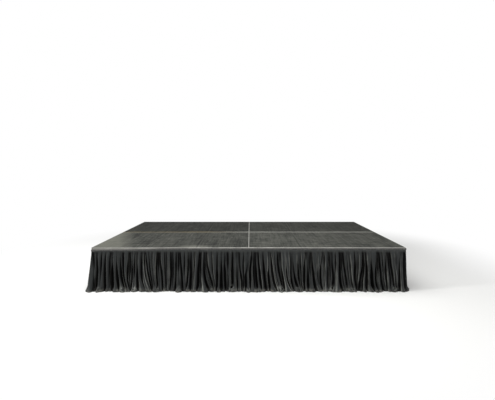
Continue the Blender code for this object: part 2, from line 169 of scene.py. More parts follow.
def boardMaterial(deck):
    # Phenolic film, hot-pressed on birch plywood with a wire net: dull, nearly black, greyed by shoes.
    name, dry, wearAndPaintedHighlight, dust = board["decks"][deck]
    base, gloss = board["roughness"], board["specular"]
    material, tree, shader, pattern = newMaterial(name, 0.0, base, dry, gloss, board["patterns"])
    x, y = addNode(tree, "SeparateXYZ", (pattern["place"],)).node.outputs[:2]
    patches, sweeps = pattern["patches"], pattern["sweeps"]
    # dust lies in patches, in streaks from front to back, and where it was swept
    lying = addNode(tree, "MapRange", (patches, 0.36, 0.66, 0.0, 0.42))
    dragged = addNode(tree, "MapRange", (pattern["drags"], 0.36, 0.68, -0.1, 0.5))
    swept = addNode(tree, "MapRange", (sweeps, 0.35, 0.7, -0.15, 0.35))
    dusty = addNode(tree, "Math", (lying, dragged), operation="ADD")
    dusty = addNode(tree, "Math", (dusty, swept), operation="ADD")
    # scratches run both ways, and show where the film is used most
    lengthways = addNode(tree, "MapRange", (pattern["scratches"], 0.56, 0.72, 0.0, 1.0))
    crossways = addNode(tree, "MapRange", (pattern["crossed"], 0.63, 0.74, 0.0, 0.7))
    scratched = addNode(tree, "Math", (lengthways, crossways), operation="MAXIMUM")
    used = addNode(tree, "MapRange", (sweeps, 0.4, 0.65, 0.1, 1.0))
    marks = addNode(tree, "Math", (scratched, used), operation="MULTIPLY")
    soiled = addNode(tree, "Math", (marks, 0.46), operation="MULTIPLY")
    soiled = addNode(tree, "Math", (dusty, 0.21, soiled), operation="MULTIPLY_ADD")
    soiled = addNode(tree, "Math", (soiled, dust), operation="MULTIPLY")
    layers = [(addNode(tree, "MapRange", (dusty,)), dry), (soiled, board["scuff"])]
    if deck == "fl":
        # painted reflection: the left front deck is lighter towards its outer end, in a slanted wedge
        uneven = addNode(tree, "Math", (patches, 0.16, x), operation="MULTIPLY_ADD")
        slanted = addNode(tree, "Math", (y, 0.36, uneven), operation="MULTIPLY_ADD")
        outer = addNode(tree, "MapRange", (slanted, -2.42, -2.14, 0.44, 0.0))
        broken = addNode(tree, "MapRange", (sweeps, 0.3, 0.7, 0.85, 1.0))
        pale = addNode(tree, "Math", (outer, broken), operation="MULTIPLY")
        # a scuffed patch by the front edge
        aside = addNode(tree, "Math", (x, board["stepUp"]), operation="ADD")
        aside = addNode(tree, "Math", (aside,), operation="ABSOLUTE")
        across = addNode(tree, "MapRange", (aside, 0.05, 0.30, 1.0, 0.0))
        inwards = addNode(tree, "MapRange", (y, -1.21, -1.02, 0.7, 0.0))
        stepped = addNode(tree, "Math", (across, inwards), operation="MULTIPLY")
        layers += [(pale, board["reflectionEnd"]), (stepped, board["scuff"])]
    if deck in ("bl", "br"):
        # painted highlight along the seam with the deck in front: grey on the right, warm-tinted on the left
        ragged = addNode(tree, "Math", (sweeps, -0.030, y), operation="MULTIPLY_ADD")
        beside = addNode(tree, "MapRange", (ragged, 0.002, 0.026, 0.9, 0.0))
        rightwards = addNode(tree, "MapRange", (x, -1.9, -0.3, 0.0, 1.0))
        seam = addNode(tree, "Math", (beside, rightwards), operation="MULTIPLY")
        turning = addNode(tree, "MapRange", (x, -0.9, -0.1, 0.0, 1.0))
        sockets = {0: turning, 6: board["seamLeft"], 7: board["seamRight"]}
        layers.append((seam, addNode(tree, "Mix", sockets, 2, data_type="RGBA")))
    # the board shows its joists as faint dark lines, each with a faint painted highlight beside it
    faint = addNode(tree, "MapRange", (patches, 0.35, 0.65, 0.5, 1.0))
    for joist in board["joists"]:
        for line, strength, tint in ((joist, 0.75, wearAndPaintedHighlight), (joist + 0.022, 0.10, board["scuff"])):
            away = addNode(tree, "Math", (x, line), operation="SUBTRACT")
            away = addNode(tree, "Math", (away,), operation="ABSOLUTE")
            near = addNode(tree, "MapRange", (away, 0.002, 0.016, strength, 0.0))
            if line == joist:
                near = addNode(tree, "Math", (near, faint), operation="MULTIPLY")
            layers.append((near, tint))
    # three waves, 60 degrees apart, make the net of raised hexagons
    turn = 2 * math.pi / (board["netPitch"] * math.sqrt(3) / 2)
    waves = 0.0
    for degrees in (0, 60, 120):
        a = math.radians(degrees)
        ahead = addNode(tree, "Math", (y, turn * math.sin(a)), operation="MULTIPLY")
        along = addNode(tree, "Math", (x, turn * math.cos(a), ahead), operation="MULTIPLY_ADD")
        wave = addNode(tree, "Math", (along,), operation="COSINE")
        waves = addNode(tree, "Math", (wave, waves), operation="ADD")
    net = addNode(tree, "MapRange", (waves, -1.5, 0.2, 1.0, 0.0))
    dirty = addNode(tree, "Math", (dusty, marks), operation="ADD")
    rough = addNode(tree, "MapRange", (dirty, 0.0, 1.4, base - 0.10, base + 0.16))
    bumps = ((net, board["netHeight"], 0.6), (pattern["grain"], 0.0001, 0.5), (patches, 0.004, 0.25))
    dressShader(tree, shader, wearAndPaintedHighlight, layers, rough, bumps)
    return material


def finishNode(name, material):
    item = nodes[name]
    if not item.data.materials:
        item.data.materials.append(None)
    for index in range(len(item.material_slots)):
        item.material_slots[index].material = material
    return item


for deck in board["decks"]:
    finishNode(f"deck_board_{deck}", boardMaterial(deck))
print("boards done")


# Deck frames: welded from extruded aluminium
rail = {
    "bright": "#adaca6",
    "dull": "#85847f",
    "grime": "#5a5953",
    "roughness": 0.42,
    "edgeRadius": 0.0006,
    "edgeAngle": 40,              # degrees; sharper edges than this are rounded
    "wearAndPaintedHighlight": "#abaaa5",          # lips of the cross seam, right and left
    "stained": "#a09375",
    "patterns": {
        "dieLines": (2.381, 3, 0.6, (0.004, 0.004, 1.0)),     # real ones are 0.2 mm apart: coarser, to show
        "stains": (166.67, 5, 0.65, (1.0, 1.0, 1.0)),
        "nicks": (8.333, 2, 0.5, (0.25, 0.25, 1.0)),
    },
}


def aluminiumMaterial(name, bright, dull, roughness):
    # Aluminium 6082, extruded and left as it came from the mill: soft grey, with fine lines along it.
    material, tree, shader, pattern = newMaterial(name, 1.0, roughness, bright, patterns=rail["patterns"])
    x, y, z = addNode(tree, "SeparateXYZ", (pattern["place"],)).node.outputs
    # duller towards the left
    stained = addNode(tree, "MapRange", (pattern["stains"], 0.32, 0.7, 0.0, 1.0))
    leftwards = addNode(tree, "MapRange", (x, -2.3, 0.4, 0.6, 0.0))
    greyed = addNode(tree, "Math", (stained, leftwards), operation="ADD", use_clamp=True)
    nicked = addNode(tree, "MapRange", (pattern["nicks"], 0.62, 0.76, 0.0, 0.2))
    # the lips along the cross seam are rubbed by feet
    away = addNode(tree, "Math", (y,), operation="ABSOLUTE")
    lip = addNode(tree, "MapRange", (away, 0.0095, 0.0105, 1.0, 0.0))
    upper = addNode(tree, "MapRange", (z, stageTop - 0.004, stageTop - 0.002, 0.0, 1.0))
    seam = addNode(tree, "Math", (lip, upper), operation="MULTIPLY")
    turning = addNode(tree, "MapRange", (x, -0.9, -0.2, 0.0, 1.0))
    tint = addNode(tree, "Mix", {0: turning, 6: rail["stained"], 7: rail["wearAndPaintedHighlight"]}, 2, data_type="RGBA")
    rough = addNode(tree, "MapRange", (pattern["stains"], 0.3, 0.7, roughness - 0.06, roughness + 0.12))
    rough = addNode(tree, "Math", (pattern["dieLines"], 0.05, rough), operation="MULTIPLY_ADD")
    rough = addNode(tree, "Math", (seam, 0.25, rough), operation="MULTIPLY_ADD")
    layers = ((greyed, dull), (nicked, rail["grime"]), (seam, tint))
    bumps = ((pattern["dieLines"], 0.0001, 0.5), (pattern["nicks"], 0.0003, 0.25))
    dressShader(tree, shader, bright, layers, rough, bumps)
    return material


colours = rail["bright"], rail["dull"]
railAluminium = aluminiumMaterial("aluminiumMillFinishExtruded", *colours, rail["roughness"])
for deck in board["decks"]:
    item = finishNode(f"deck_frame_{deck}", railAluminium)
    softened = item.modifiers.new("softEdges", "BEVEL")
    softened.width = rail["edgeRadius"]
    softened.segments = 2
    softened.limit_method = "ANGLE"
    softened.angle_limit = math.radians(rail["edgeAngle"])
    softened.harden_normals = False
print("frames done")


# Meshes from grids of points
def gridMesh(name, points, uv, closeAround=False):
    # points has rows and columns, and uv has the same; closeAround joins the last column to the first
    rows, columns = points.shape[:2]
    mesh = bpy.data.meshes.new(name)
    ids = np.arange(rows * columns).reshape(rows, columns)
    right = np.roll(ids, -1, axis=1) if closeAround else ids[:, 1:]
    left = ids if closeAround else ids[:, :-1]
    quads = np.stack([left[:-1], left[1:], right[1:], right[:-1]], axis=-1).reshape(-1, 4)
    mesh.from_pydata(points.reshape(-1, 3).tolist(), [], quads.tolist())
    layer = mesh.uv_layers.new(name="flatCloth")
    layer.data.foreach_set("uv", uv.reshape(-1, 2)[quads.reshape(-1)].reshape(-1).astype(np.float32))
    mesh.polygons.foreach_set("use_smooth", [True] * len(mesh.polygons))
    mesh.update()
    return mesh


def addPiece(name, mesh, material, body="stage", place=None):
    item = bpy.data.objects.new(name, mesh)
    if place is not None:
        item.matrix_world = place
    bpy.context.scene.collection.objects.link(item)
    if not mesh.materials:
        mesh.materials.append(material)
    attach(item, body)
    return item


# Skirt: black satin, gathered 1.75 to 1 into a hook-and-loop header tape
skirt = {
    "tapeBottom": stageTop - 0.048,
    "satin": "#050505",           # painted shade: the black down in the folds
    "satinCrestLit": "#323434",       # painted light on the crests, lighter than the black between them
    # lint on the tape and by the floor; on the hem it is also a painted highlight
    "lintAndHemHighlight": "#6c6a64",
    "wearAndPaintedHighlight": "#a4a6a0",          # painted highlight along some fold edges, and a little under the tape
    "roughness": 0.36,
    "specular": 0.06,
    "sheen": 0.05,
    "sheenRoughness": 0.35,
    "floats": 1.111,              # mm across, about three times the real ones, so that they show
    "hemStitch": 0.022,           # metres up from the hem's edge
    "sectionEnd": 1.2195,         # the two front sections meet here
    "fullness": 1.75,             # flat width of cloth to the length of tape it hangs from
    "cutLength": 0.72,            # tape to hem edge, with the hem's turning
    "lowestRow": 0.012,           # metres above the floor, where the hem begins to turn
    "rows": 40,
    "hemRows": 15,
    "samples": 14,                # points across a fold
    "foldDepth": (0.016, 0.054),  # least and most
    "gapFloor": (0.0026, 0.004),  # how far the cloth in the gaps stands off the rail, high up and low down
    "gapHalf": 0.0270,            # half the width of the deepest gaps, low down
    "creasePitch": 0.050,         # shallow creases, between gaps that are further apart than two of these
    "nearestGaps": 0.036,
    "least": 0.0016,              # no cloth comes nearer to the rail than this
    "gather": (0.0165, 0.0011),   # pitch and depth of the gathers under the tape
    "wrinkle": (0.0030, 0.0035),  # how far wrinkles move the cloth outward, and along
    "sweepWidth": 0.075,
    "sweepFrom": 0.30,            # swept folds start to lean at this height
    "ruckWidth": 0.034,
    "kick": (0.020, 0.012, 0.016),        # kicks out above the floor: always, wandering, where it is rucked
    "toe": (0.016, 0.012, 0.014),         # lies on the floor: always, wandering, where it is rucked
    "crumple": (0.008, 0.011, 0.017),     # dents, and ridges outward and upward
    "crestReach": 0.045,          # the crests beside a point are this near
    "lap": 10,                    # columns by which the front sections overlap
    "leftFlare": 0.072,           # how far the front corners' folds stand out at the hem
    "rightFlare": 0.030,
    "creaseShine": 0.75,
    "patterns": {
        "crush": (38.46, 4, 0.6, (1.0, 1.0, 0.45)),           # from being packed in its bag
        "clouds": (222.2, 3, 0.5, (1.0, 1.0, 1.0)),           # stronger and weaker stretches of the painted edge highlights
        "swept": (58.82, 2, 0.5, (1.0, 1.0, 1.0)),            # clumps of lint by the floor, which also shape the painted highlight on the hem
    },
}
tape = {
    "colour": "#3c3c3d",
    "roughness": 0.68,
    "specular": 0.35,
    "stitchRows": (0.0045, 0.0235),      # metres up from the lower edge
    "ribs": 0.0022,                      # metres from rib to rib
    "stitches": 0.0042,
    "blotches": 25,                      # mm
    "step": 0.010,
    # outline across the strap: out from the rail, up from its lower edge, and place on the flat strap
    "section": (
        (0.0008, 0.0012, 0.0), (0.0008, 0.0268, 0.0256), (0.0014, 0.0280, 0.027), (0.0044, 0.0280, 0.028),
        (0.0052, 0.0268, 0.0265), (0.0055, 0.0140, 0.014), (0.0052, 0.0012, 0.0015), (0.0044, 0.0, 0.0005),
        (0.0014, 0.0, 0.0),
    ),
}
# where dark gaps between folds run, in metres along the front, at 546, 344, 158 and 60 mm above the floor,
# and how deep each gap is up high, at mid height and low down, from 0 to 1
frontGaps = [
    (-2.340, -2.330, -2.345, -2.345, 0.4, 0.8, 0.6),
    (-2.206, -2.217, -2.210, -2.210, 0.6, 0.8, 1.0),
    (-2.093, -2.097, -2.097, -2.109, 0.2, 0.9, 0.95),
    (-2.035, -2.035, -2.016, -2.028, 0.3, 0.8, 0.7),
    (-1.985, -1.977, -1.954, -1.938, 0.2, 0.7, 0.65),
    (-1.861, -1.869, -1.880, -1.853, 0.15, 0.7, 1.0),
    (-1.791, -1.799, -1.799, -1.818, 0.2, 0.75, 1.0),
    (-1.715, -1.712, -1.725, -1.725, 0.1, 0.4, 0.85),
    (-1.659, -1.650, -1.644, -1.632, 0.7, 0.85, 0.35),
    (-1.590, -1.570, -1.531, -1.516, 0.8, 0.95, 0.95),
    (-1.419, -1.427, -1.415, -1.415, 0.7, 0.6, 0.7),
    (-1.361, -1.353, -1.330, -1.326, 0.3, 0.9, 1.0),
    (-1.210, -1.198, -1.202, -1.214, 0.9, 1.0, 1.0),
    (-1.121, -1.121, -1.124, -1.128, 0.85, 1.0, 1.0),
    (-1.055, -1.039, -1.028, -1.020, 0.5, 0.7, 1.0),
    (-0.935, -0.935, -0.946, -0.962, 0.7, 0.7, 0.7),
    (-0.884, -0.888, -0.892, -0.892, 0.5, 0.8, 1.0),
    (-0.764, -0.776, -0.776, -0.791, 0.7, 0.9, 0.85),
    (-0.690, -0.693, -0.672, -0.645, 0.5, 0.8, 0.7),
    (-0.645, -0.635, -0.578, -0.564, 0.5, 0.5, 1.0),
    (-0.485, -0.485, -0.489, -0.497, 0.6, 0.5, 0.95),
    (-0.423, -0.423, -0.423, -0.423, 0.3, 0.6, 1.0),
    (-0.373, -0.373, -0.361, -0.361, 0.3, 0.75, 1.0),
    (-0.252, -0.252, -0.256, -0.268, 0.8, 1.0, 1.0),
    (-0.195, -0.190, -0.175, -0.171, 0.1, 0.2, 0.55),
    (-0.140, -0.140, -0.100, -0.105, 0.35, 0.5, 0.5),
    (-0.020, -0.025, -0.051, -0.051, 0.1, 0.3, 0.8),
    (0.042, 0.027, 0.020, 0.011, 0.75, 1.0, 0.5),
    (0.112, 0.112, 0.120, 0.131, 0.3, 0.75, 0.75),
    (0.151, 0.160, 0.182, 0.197, 0.8, 0.6, 0.6),
    (0.217, 0.228, 0.244, 0.259, 0.6, 0.95, 1.0),
    (0.290, 0.300, 0.306, 0.310, 0.2, 0.5, 1.0),
    (0.341, 0.356, 0.387, 0.403, 0.8, 1.0, 1.0),
    (0.445, 0.453, 0.492, 0.511, 0.95, 0.85, 0.4),
    (0.500, 0.510, 0.534, 0.546, 0.1, 0.3, 0.65),
    (0.565, 0.581, 0.593, 0.620, 0.2, 0.4, 0.45),
    (0.630, 0.640, 0.650, 0.665, 0.1, 0.3, 0.6),
    (0.685, 0.693, 0.713, 0.736, 0.2, 0.35, 0.7),
    (0.745, 0.759, 0.775, 0.794, 0.1, 0.7, 1.0),
    (0.868, 0.856, 0.852, 0.860, 0.4, 1.0, 1.0),
    (0.910, 0.910, 0.914, 0.914, 0.1, 0.3, 0.65),
    (0.976, 0.988, 1.003, 1.015, 0.4, 0.8, 1.0),
    (1.127, 1.108, 1.104, 1.116, 0.5, 0.9, 0.85),
    (1.2195, 1.2215, 1.224, 1.222, 0.3, 0.6, 0.6),
    (1.290, 1.290, 1.310, 1.302, 0.3, 0.55, 0.85),
    (1.395, 1.403, 1.407, 1.438, 0.4, 0.7, 0.75),
    (1.461, 1.476, 1.503, 1.511, 0.6, 0.8, 0.95),
    (1.560, 1.575, 1.588, 1.598, 0.1, 0.2, 0.3),
    (1.639, 1.639, 1.647, 1.660, 0.6, 0.95, 0.95),
    (1.752, 1.748, 1.710, 1.700, 0.45, 0.65, 0.65),
    (1.817, 1.821, 1.814, 1.806, 0.45, 0.85, 1.0),
    (1.883, 1.891, 1.891, 1.899, 0.35, 0.8, 1.0),
    (1.975, 1.961, 1.957, 1.969, 0.35, 1.0, 0.8),
    (2.018, 2.027, 2.046, 2.058, 0.6, 1.0, 0.95),
    (2.120, 2.112, 2.124, 2.124, 0.35, 0.85, 0.95),
    (2.186, 2.201, 2.228, 2.240, 0.6, 0.9, 0.45),
    (2.245, 2.255, 2.271, 2.280, 0.1, 0.3, 0.4),
    (2.345, 2.325, 2.325, 2.325, 0.2, 0.7, 0.8),
]
# where the hem is rucked up on the floor: metres along the front, and how much
frontRucks = [
    (-2.31, 0.5), (-1.93, 0.6), (-1.75, 1.0), (-1.40, 0.9), (-1.07, 0.8), (-0.70, 0.4), (-0.55, 0.4),
    (-0.27, 1.0), (0.00, 0.5), (0.13, 0.4), (0.50, 0.9), (0.77, 0.9), (1.27, 1.0), (1.52, 0.5),
    (1.60, 0.8), (2.02, 0.5), (2.25, 0.9),
]
# where the folds are pushed sideways near the floor: metres along the front, and how far
frontSweeps = [
    (-2.04, 0.045), (-1.93, 0.060), (-1.72, 0.045), (-1.60, 0.050), (-1.43, 0.030), (-0.62, 0.060),
    (-0.36, 0.020), (0.02, 0.030), (0.36, 0.055), (0.60, 0.050), (0.74, 0.050), (1.05, 0.060),
    (1.34, -0.035), (1.52, 0.030), (1.87, 0.030), (2.06, 0.035),
]


def satinMaterial():
    # Polyester satin, woven with long floats: black, with a soft gloss where a fold turns to the light.
    base, gloss = skirt["roughness"], skirt["specular"]
    material, tree, shader, pattern = newMaterial(
        "polyesterSatinWoven", 0.0, base, skirt["satin"], gloss, skirt["patterns"])
    shader.inputs["Sheen Weight"].default_value = skirt["sheen"]
    shader.inputs["Sheen Roughness"].default_value = skirt["sheenRoughness"]
    height = addNode(tree, "SeparateXYZ", (pattern["place"],), "Z")
    flat = addNode(tree, "UVMap", uv_map="flatCloth")
    woven = addNode(tree, "Mapping", {"Vector": flat, "Scale": (1.0, 0.12, 1.0)})
    sockets = {"Vector": woven, "Scale": 1000 / skirt["floats"], "Detail": 2, "Roughness": 0.5}
    floats = addNode(tree, "TexNoise", sockets)
    # painted light on the crests and painted shade down between them; the strip under the tape is lighter
    faded = addNode(tree, "Attribute", output="Fac", attribute_name="faded")
    crests = addNode(tree, "MapRange", (faded, 0.60, 0.96, 0.0, 1.0))
    crushed = addNode(tree, "MapRange", (pattern["crush"], 0.3, 0.7, 0.75, 1.0))
    crestLit = addNode(tree, "Math", (crests, crushed), operation="MULTIPLY")
    under, over = skirt["tapeBottom"] - 0.034, skirt["tapeBottom"] + 0.004
    underTape = addNode(tree, "MapRange", (height, under, over, 0.0, 1.0))
    greyed = addNode(tree, "Math", (crestLit, underTape), operation="MAXIMUM")
    pale = addNode(tree, "Math", (underTape, 0.045), operation="MULTIPLY")
    # painted highlights along some fold edges
    wearAndPaintedHighlight = addNode(tree, "Attribute", output="Fac", attribute_name="wearAndPaintedHighlight")
    cloudy = addNode(tree, "MapRange", (pattern["clouds"], 0.35, 0.65, 0.17, 0.85))
    wearAndPaintedHighlight = addNode(tree, "Math", (wearAndPaintedHighlight, cloudy), operation="MULTIPLY")
    # lint gathers near the floor, with a painted highlight on the hem, more where it stands proud
    low = addNode(tree, "MapRange", (height, 0.006, 0.055, 1.0, 0.0))
    swept = addNode(tree, "MapRange", (pattern["swept"], 0.50, 0.64, 0.12, 1.0))
    proud = addNode(tree, "MapRange", (crestLit, 0.0, 1.0, 0.3, 1.0))
    hemLintAndHighlight = addNode(tree, "Math", (low, swept), operation="MULTIPLY")
    hemLintAndHighlight = addNode(tree, "Math", (hemLintAndHighlight, proud), operation="MULTIPLY")
    # the hem's stitching is drawn in
    up = addNode(tree, "SeparateXYZ", (flat,), "Y")
    away = addNode(tree, "Math", (up, skirt["hemStitch"]), operation="SUBTRACT")
    away = addNode(tree, "Math", (away,), operation="ABSOLUTE")
    stitched = addNode(tree, "MapRange", (away, 0.0005, 0.0014, -1.0, 0.0))
    rough = addNode(tree, "MapRange", (pattern["crush"], 0.3, 0.7, base - 0.05, base + 0.12))
    shutIn = addNode(tree, "MapRange", (faded, 0.35, 0.9, 0.5, 0.0))
    rough = addNode(tree, "Math", (rough, shutIn), operation="ADD")
    layers = (
        (greyed, skirt["satinCrestLit"]), (pale, skirt["wearAndPaintedHighlight"]),
        (wearAndPaintedHighlight, skirt["wearAndPaintedHighlight"]), (hemLintAndHighlight, skirt["lintAndHemHighlight"]),
    )
    bumps = ((pattern["crush"], 0.006, 0.35), (floats, 0.0004, 0.35), (stitched, 0.0008, 0.7))
    dressShader(tree, shader, skirt["satin"], layers, rough, bumps)
    return material


def tapeMaterial():
    # Polypropylene webbing, woven: dull black, ribbed across, with two rows of stitching.
    finish = tape["roughness"], tape["colour"], tape["specular"]
    material, tree, shader, _ = newMaterial("polypropyleneWebbingWoven", 0.0, *finish)
    flat = addNode(tree, "UVMap", uv_map="flatCloth")
    along, up = addNode(tree, "SeparateXYZ", (flat,)).node.outputs[:2]
    ribs = addNode(tree, "Math", (along, 2 * math.pi / tape["ribs"]), operation="MULTIPLY")
    ribs = addNode(tree, "Math", (ribs,), operation="SINE")
    sockets = {"Vector": flat, "Scale": 1000 / tape["blotches"], "Detail": 4, "Roughness": 0.6}
    blotches = addNode(tree, "TexNoise", sockets)
    dusty = addNode(tree, "MapRange", (blotches, 0.35, 0.7, 0.0, 0.5))
    rows = 0.0
    for line in tape["stitchRows"]:
        away = addNode(tree, "Math", (up, line), operation="SUBTRACT")
        away = addNode(tree, "Math", (away,), operation="ABSOLUTE")
        near = addNode(tree, "MapRange", (away, 0.0004, 0.0010, 1.0, 0.0))
        rows = addNode(tree, "Math", (near, rows), operation="MAXIMUM")
    dashes = addNode(tree, "Math", (along, 2 * math.pi / tape["stitches"]), operation="MULTIPLY")
    dashes = addNode(tree, "Math", (dashes,), operation="SINE")
    dashes = addNode(tree, "MapRange", (dashes, -0.4, 0.1, 0.0, 1.0))
    stitches = addNode(tree, "Math", (rows, dashes), operation="MULTIPLY")
    pale = addNode(tree, "Math", (stitches, 0.5), operation="MULTIPLY")
    layers = ((dusty, skirt["lintAndHemHighlight"]), (pale, skirt["lintAndHemHighlight"]))
    bumps = ((ribs, 0.0002, 0.4), (stitches, 0.0006, 0.6))
    dressShader(tree, shader, tape["colour"], layers, None, bumps)
    return material


def smoothStep(value):
    value = np.clip(value, 0, 1)
    return value * value * (3 - 2 * value)


def smoothed(table):
    return (table[:, :-2] + 2 * table[:, 1:-1] + table[:, 2:]) / 4


def addCreases(gaps, start, end, rng):
    # shallow creases fill the wide stretches between the deep gaps
    full = []
    ends = [(start,) * 4 + (0, 0, 0)] + [tuple(row) for row in gaps] + [(end,) * 4 + (0, 0, 0)]
    for left, right in zip(ends, ends[1:]):
        if left is not ends[0]:
            full.append(left)
        wide = (right[1] + right[2] - left[1] - left[2]) / 2
        count = max(0, round(wide / skirt["creasePitch"]) - 1)
        for step in range(count):
            share = (step + 1 + rng.uniform(-0.14, 0.14)) / (count + 1)
            at = [a + (b - a) * share + rng.uniform(-0.003, 0.003) for a, b in zip(left[:4], right[:4])]
            full.append((*at, rng.uniform(0.3, 0.75), rng.uniform(0.1, 0.45), rng.uniform(0.0, 0.35)))
    return full


def randomGaps(start, end, rng):
    # the sides aren't in view, so their folds follow the front's habits
    rows = []
    at = start + 0.09
    while at < end - 0.08:
        sweep = rng.choice((0, 0, 0.4, 1.0)) * rng.uniform(0.02, 0.06)
        lean = rng.uniform(-0.012, 0.012)
        deep = rng.uniform(0.6, 1.0)
        rows.append([at, at + lean, at + lean + 0.4 * sweep, at + lean + sweep,
                     deep * rng.uniform(0.2, 0.9), deep * rng.uniform(0.7, 1.0), deep])
        at += rng.uniform(0.06, 0.135)
    for column in range(4):
        last = start - 1
        for row in rows:
            row[column] = max(row[column], last + skirt["nearestGaps"])
            last = row[column]
    return [row for row in rows if row[3] < end - 0.05]


def rowHeights():
    # rows are close together under the tape and near the floor
    share = np.linspace(0, 1, skirt["rows"])
    eased = share - 0.10 * np.sin(2 * math.pi * share)
    highest = skirt["tapeBottom"] + 0.006
    return highest - eased * (highest - skirt["lowestRow"])


def gapTable(gaps, z):
    # positions and depths of every gap at each row's height, smoothed down the drop
    placeLevels = (0.0, 0.06, 0.158, 0.344, 0.546, 0.62)
    depthLevels = (0.0, 0.03, 0.07, 0.11, 0.17, 0.30, 0.437, 0.56, 0.62)
    at, cut = [], []
    for high, middle, low, lowest, deepHigh, deep, deepLow in gaps:
        places = (lowest + 0.35 * (lowest - low), lowest, low, middle, high, high)
        depths = (0.3 * deepLow, 0.5 * deepLow, 0.9 * deepLow, deepLow, deepLow, deep,
                  deepHigh, 0.75 * deepHigh, 0.3 * deepHigh)
        at.append(np.interp(z, placeLevels, places))
        cut.append(np.interp(z, depthLevels, depths))
    at, cut = np.array(at), np.array(cut)
    for _ in range(16):
        for table in (at, cut):
            table[:, 1:-1] = smoothed(table)
    return at, cut


def cornerArc(z, flare):
    # a corner fold at each height: its radius, and how far its centre lies in from the corner
    dropped = 1 - z / skirt["tapeBottom"]
    low = np.clip(smoothStep(dropped) * 0.35 + dropped * 0.65, 0, 1)
    return 0.0060 + (flare - 0.0060) * low, 0.0030 + 0.006 * low


def hangCloth(gaps, start, end, corners, seed, z):
    # plan of the folds at each row: along the run, out from the rail, and how much painted highlight; rows by
    # columns
    rng = random.Random(seed)
    at, cut = gapTable(gaps, z)
    samples = skirt["samples"]
    # a fold opens quickly in the first tenth of a metre, and is at its full depth 0.44 m below the tape
    below = skirt["tapeBottom"] - z
    growth = 0.24 + 0.34 * smoothStep(below / 0.10) + 0.42 * smoothStep(below / 0.44)
    high, low = skirt["gapFloor"]
    gapFloor = high + (low - high) * growth
    folds = len(gaps) - 1
    depth, lean, pointed, wearAndPaintedHighlight = [], [], [], []
    for fold in range(folds):
        wide = at[fold + 1] - at[fold]
        full = np.clip(0.80 * wide + 0.004, *skirt["foldDepth"]) * rng.uniform(0.80, 1.06)
        wave = np.array([noise.noise(Vector((seed * 3.1 + fold * 1.7, value * 5.0, 0.3))) for value in z])
        depth.append(np.maximum(gapFloor + 0.002, full * growth * (1 + 0.22 * wave)))
        tilt = rng.uniform(-0.30, 0.30)
        lean.append(tilt * growth + 0.35 * wave * growth)
        pointed.append(rng.uniform(0.40, 1.05))
        wearAndPaintedHighlight.append((rng.random() ** 1.6, rng.random() ** 3))      # painted highlight, more on the left shoulders, which face the light
    gapOut = []
    for gap in range(folds + 1):
        near = [depth[index] for index in (gap - 1, gap) if 0 <= index < folds]
        share = 0.14 + 0.86 * smoothStep(cut[gap] * 1.25)
        gapOut.append(np.maximum(gapFloor, np.minimum.reduce(near) * (1 - share)))
    half = [0.0010 + (0.0015 + skirt["gapHalf"] * growth ** 2.2) * deep for deep in cut]
    columns = []
    for fold in range(folds):
        left, right = at[fold], at[fold + 1]
        most = 0.34 * (right - left)                # the gaps leave a third of the way to the fold
        first = left + np.minimum(half[fold], most)
        last = right - np.minimum(half[fold + 1], most)
        middle = (first + last) / 2
        radius = (last - first) / 2
        columns.append((left, gapOut[fold], 0 * left))
        for step in range(samples - 1):
            angle = math.pi * (0.035 + 0.93 * step / (samples - 2))
            rise = math.sin(angle) ** pointed[fold]
            across = -math.cos(angle)
            share = (across + 1) / 2
            base = gapOut[fold] * (1 - share) + gapOut[fold + 1] * share
            bulge = 1 + 0.40 * math.sin(angle) * (1 - math.sin(angle))
            # its two edges, where the cloth turns inward
            shoulders = [math.exp(-((angle - peak) / 0.30) ** 2) for peak in (0.62, math.pi - 0.62)]
            columns.append((
                middle + radius * (across * bulge + lean[fold] * rise),
                base + (depth[fold] - base) * rise,
                growth ** 2 * (wearAndPaintedHighlight[fold][0] * shoulders[0] + wearAndPaintedHighlight[fold][1] * shoulders[1]),
            ))
    columns.append((at[-1], gapOut[-1], 0 * at[-1]))
    # a fold turns each skirted corner; sign points into the run
    for flare, edge, sign, gap in ((corners[0], start, 1, 0), (corners[1], end, -1, -1)):
        if not flare:
            continue
        radius, inset = cornerArc(z, flare)
        crest = edge + sign * inset
        arc = []
        for degrees in (135, 126, 117, 108, 99):
            a = math.radians(degrees)
            arc.append((crest + sign * radius * math.cos(a), radius * math.sin(a) - inset, 0 * z))
        proud = radius - inset - gapOut[gap]
        for step in range(9):
            a = math.radians(90 * (1 - step / 9))
            s = crest + (at[gap] - crest) * math.cos(a)
            arc.append((s, gapOut[gap] + proud * math.sin(a) ** 0.8, 0 * z))
        columns = arc + columns if sign > 0 else columns + arc[::-1]
    return [np.array(table).T for table in zip(*columns)]


